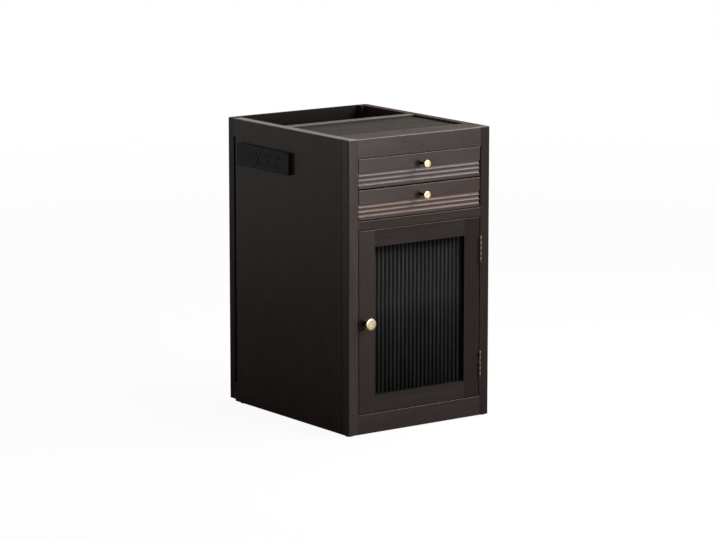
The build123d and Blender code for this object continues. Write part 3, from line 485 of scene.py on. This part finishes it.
def turned_knob(node, body, foot, stem, face):
    """A knob turned about the line that runs forward through the middle of its node."""
    low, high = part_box(node)
    radius = (high.x - low.x) / 2
    centre_x, centre_z = (low.x + high.x) / 2, (low.z + high.z) / 2
    reach = high.y - low.y
    neck = reach - face
    outline = [(0.0, 0.0), (foot - 0.0004, 0.0), (foot, 0.0004), (foot, foot_height - 0.0005)]
    outline.append((foot - 0.0005, foot_height))
    shares = [step / curve_steps for step in range(curve_steps + 1)]
    for share in shares:
        wide = stem + (foot - 0.0012 - stem) * (1 - share) ** 3
        outline.append((wide, foot_height + 0.0002 + foot_curve * share))
    for share in shares:
        wide = stem + (radius - 0.0010 - stem) * share ** 2.6
        outline.append((wide, neck - neck_curve_start + neck_curve * share))
    outline += [(radius - 0.0004, neck), (radius - 0.0001, neck + 0.0003), (radius, neck + 0.0007)]
    outline += [(radius, reach - 0.0008), (radius - 0.0002, reach - 0.0003), (radius - 0.0006, reach)]
    for groove in groove_places:
        middle = radius * groove
        outline += [(middle + 0.0004, reach), (middle + 0.0002, reach - groove_depth)]
        outline += [(middle - 0.0002, reach - groove_depth), (middle - 0.0004, reach)]
    outline.append((0.0, reach))
    mesh = bmesh.new()
    rings = []
    for distance, forward in outline:
        count = 1 if distance == 0.0 else turned_sides
        ring = []
        for index in range(count):
            angle = 2 * math.pi * index / turned_sides
            spot = (
                centre_x + distance * math.cos(angle), high.y - forward,
                centre_z + distance * math.sin(angle),
            )
            ring.append(mesh.verts.new(spot))
        rings.append(ring)
    for first, second in zip(rings, rings[1:]):
        for index in range(turned_sides):
            after = (index + 1) % turned_sides
            corners = [first[index % len(first)], first[after % len(first)]]
            corners += [second[after % len(second)], second[index % len(second)]]
            corners = list(dict.fromkeys(corners))
            mesh.faces.new(corners)
    bmesh.ops.recalc_face_normals(mesh, faces=mesh.faces)
    for face_of in mesh.faces:
        face_of.smooth = True
    data = bpy.data.meshes.new(f"{node}_turned")
    mesh.to_mesh(data)
    mesh.free()
    data.materials.append(brushed_brass(f"{node}_brass", high.y - neck))
    data.set_sharp_from_angle(angle=math.radians(40))
    piece = bpy.data.objects.new(f"{node}_turned", data)
    bpy.context.scene.collection.objects.link(piece)
    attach(piece, body)
    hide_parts(node)


turned_knob("door_knob", "door", 0.0062, 0.0046, 0.0040)
turned_knob("upper_drawer_knob", "upper_drawer", 0.0042, 0.0031, 0.0040)
turned_knob("lower_drawer_knob", "lower_drawer", 0.0042, 0.0031, 0.0040)


# The two butt hinges are pressed steel with a satin nickel plating, let into the edges of
# the door and the frame, each turning on a plain pin.
def satin_nickel(node):
    finish = Finish(node, Metallic=1.0)
    drag = finish.noise(finish.place((1, 1, 0.1)), 1400, 2).between(0.3, 0.7)
    finish.link(finish.blend(drag * 0.5, (0.13, 0.115, 0.105, 1), (0.09, 0.080, 0.074, 1)), "Base Color")
    finish.link(0.58 + 0.12 * drag, "Roughness")
    finish.bump(drag, 0.00002, 0.3)
    dress(node, finish, 0.00012, 1)


for node in ("hinge_frame_leaves", "hinge_door_leaves", "hinge_pins"):
    satin_nickel(node)


# The magnetic catch has a brown moulded housing and a grey ferrite magnet. It is screwed
# under the middle panel, and the steel plate on the door closes on it.
def moulded(node, colour, sparkle, rough=0.42, shine=0.4, ease=0.0003):
    """Moulded plastic with a fine spark texture from its tool."""
    finish = Finish(node, Specular_IOR_Level=shine)
    grit = finish.noise(finish.place(), 2600, 2).between(0.3, 0.7)
    cloud = finish.noise(finish.place(), 30, 2).between(0.3, 0.7)
    tint = finish.blend(grit * 0.35, colour, sparkle)
    dull = tuple(0.8 * part for part in colour[:3]) + (1,)
    finish.link(finish.blend(cloud * 0.25, tint, dull), "Base Color")
    finish.link(rough + 0.12 * grit, "Roughness")
    finish.bump(grit, 0.00004, 0.35)
    dress(node, finish, ease)


moulded("catch_housing", (0.075, 0.040, 0.022, 1), (0.10, 0.058, 0.035, 1))
moulded("catch_magnet", (0.040, 0.040, 0.042, 1), (0.075, 0.075, 0.078, 1), 0.55)


# The socket strip is matt charcoal plastic: a cover that stands proud of the side, and a
# housing that fills the cut-out behind it. The contacts are stamped brass.
moulded("socket_cover", (0.0105, 0.0105, 0.0100, 1), (0.019, 0.019, 0.018, 1), 0.50, 0.14, 0.0004)
moulded("socket_housing", (0.014, 0.014, 0.0145, 1), (0.026, 0.026, 0.027, 1), 0.46, 0.25)
moulded("socket_inserts", (0.008, 0.008, 0.0085, 1), (0.015, 0.015, 0.016, 1), 0.50, 0.2, 0.0002)
moulded("power_inlet", (0.012, 0.012, 0.0125, 1), (0.024, 0.024, 0.025, 1), 0.40, 0.3)
moulded("usb_ports", (0.030, 0.030, 0.032, 1), (0.060, 0.060, 0.063, 1), 0.36, 0.4, 0.0001)

stamped = Finish("stamped_brass", Metallic=1.0)
streak = stamped.noise(stamped.place((1, 0.1, 1)), 1200, 2).between(0.3, 0.7)
stamped.link(stamped.blend(streak * 0.5, (0.74, 0.56, 0.26, 1), (0.56, 0.40, 0.17, 1)), "Base Color")
stamped.link(0.28 + 0.12 * streak, "Roughness")
dress("socket_bus_bars", stamped, 0.0001, 1)


# Four thin hard plastic glides are nailed under the sides, so the wood clears the floor.
moulded("floor_glides", (0.020, 0.019, 0.019, 1), (0.035, 0.033, 0.033, 1), 0.5)


# The room: a white paper sweep under and behind the cabinet, darker round it so that the
# lacquer stays dark, a key lamp at the front right and a wide soft lamp overhead.
floor_mesh = bpy.data.meshes.new("floor")
half_floor = 14.0
paper_seen = (0.80, 0.80, 0.80, 1)
paper_bounce = (0.12, 0.12, 0.12, 1)
dark_near, bright_far = 0.7, 4.5
floor_mesh.from_pydata(
    [(-half_floor, -half_floor, 0), (half_floor, -half_floor, 0),
     (half_floor, half_floor, 0), (-half_floor, half_floor, 0)],
    [], [(0, 1, 2, 3)],
)
floor = bpy.data.objects.new("floor", floor_mesh)
bpy.context.scene.collection.objects.link(floor)
paper = Finish("white_paper", Roughness=0.9, Specular_IOR_Level=0.1)
seen = paper.node("ShaderNodeLightPath", output="Is Camera Ray")
mirrored = paper.node("ShaderNodeLightPath", output="Is Glossy Ray")
through = paper.node("ShaderNodeLightPath", output="Is Transmission Ray")
paper.link(paper.blend(seen, paper_bounce, paper_seen), "Base Color")
away = paper.node("ShaderNodeVectorMath", {"operation": "LENGTH"}, {0: paper.place()}, output="Value")
far = away.between(dark_near, bright_far)
white = paper.node("ShaderNodeEmission", {}, {"Color": (1, 1, 1, 1), "Strength": 1.0})
share = (0.94 + 0.06 * far) * seen + (0.04 + 0.80 * far) * (mirrored + through)
paper_mix = paper.node("ShaderNodeMixShader", {}, {0: share, 2: white})
paper.join(Value(paper, paper.surface.outputs[0]), paper_mix.socket.node.inputs[1])
paper.join(paper_mix, paper.inside.nodes["Material Output"].inputs[0])
floor_mesh.materials.append(paper.material)

world = bpy.data.worlds.new("room")
bpy.context.scene.world = world
world.use_nodes = True
room = Tree(world.node_tree)
seen = room.node("ShaderNodeLightPath", output="Is Camera Ray")
mirrored = room.node("ShaderNodeLightPath", output="Is Glossy Ray")
through = room.node("ShaderNodeLightPath", output="Is Transmission Ray")
behind = room.node("ShaderNodeTexCoord", output="Generated").part("Y").between(-0.1, 0.7)
fill = 0.10
backdrop = 0.86
strength = fill + (1 - fill) * seen + (backdrop * behind) * (mirrored + through)
room.join(strength, world.node_tree.nodes["Background"].inputs["Strength"])
world.node_tree.nodes["Background"].inputs["Color"].default_value = (1, 1, 1, 1)


def soft_lamp(name, spot, target, width, height, power):
    """A soft lamp that shines from one spot towards another and is itself unseen."""
    lamp = bpy.data.lights.new(name, "AREA")
    lamp.shape = "RECTANGLE"
    lamp.size, lamp.size_y = width, height
    lamp.energy = power
    holder = bpy.data.objects.new(name, lamp)
    bpy.context.scene.collection.objects.link(holder)
    holder.location = spot
    holder.rotation_euler = (Vector(target) - Vector(spot)).to_track_quat("-Z", "Y").to_euler()
    holder.visible_camera = False


soft_lamp("key_lamp", (0.47, -2.15, 0.68), (0, -0.2, 0.34), 0.5, 0.5, 35)
soft_lamp("overhead_lamp", (0.7, 0.0, 2.2), (0, 0, 0.5), 1.5, 1.5, 38)
soft_lamp("right_lamp", (1.15, -1.25, 1.6), (0, -0.2, 0.5), 1.3, 1.0, 36)
soft_lamp("left_lamp", (-1.5, -1.0, 1.7), (-0.2, -0.1, 0.5), 0.6, 0.6, 4)

camera_data = bpy.data.cameras.new("camera")
camera_data.sensor_width = 36.0
camera_data.lens = 164.67
camera_data.clip_end = 60.0
camera = bpy.data.objects.new("camera", camera_data)
bpy.context.scene.collection.objects.link(camera)
azimuth, elevation, distance = math.radians(-36.08), math.radians(10.46), 6.772
target = Vector((0.00448, 0.01215, 0.29032))
back = Vector((
    math.sin(azimuth) * math.cos(elevation), -math.cos(azimuth) * math.cos(elevation), math.sin(elevation)
))
camera.location = target + back * distance
camera.rotation_euler = (-back).to_track_quat("-Z", "Y").to_euler()
bpy.context.scene.camera = camera
bpy.context.scene.view_settings.view_transform = "Standard"
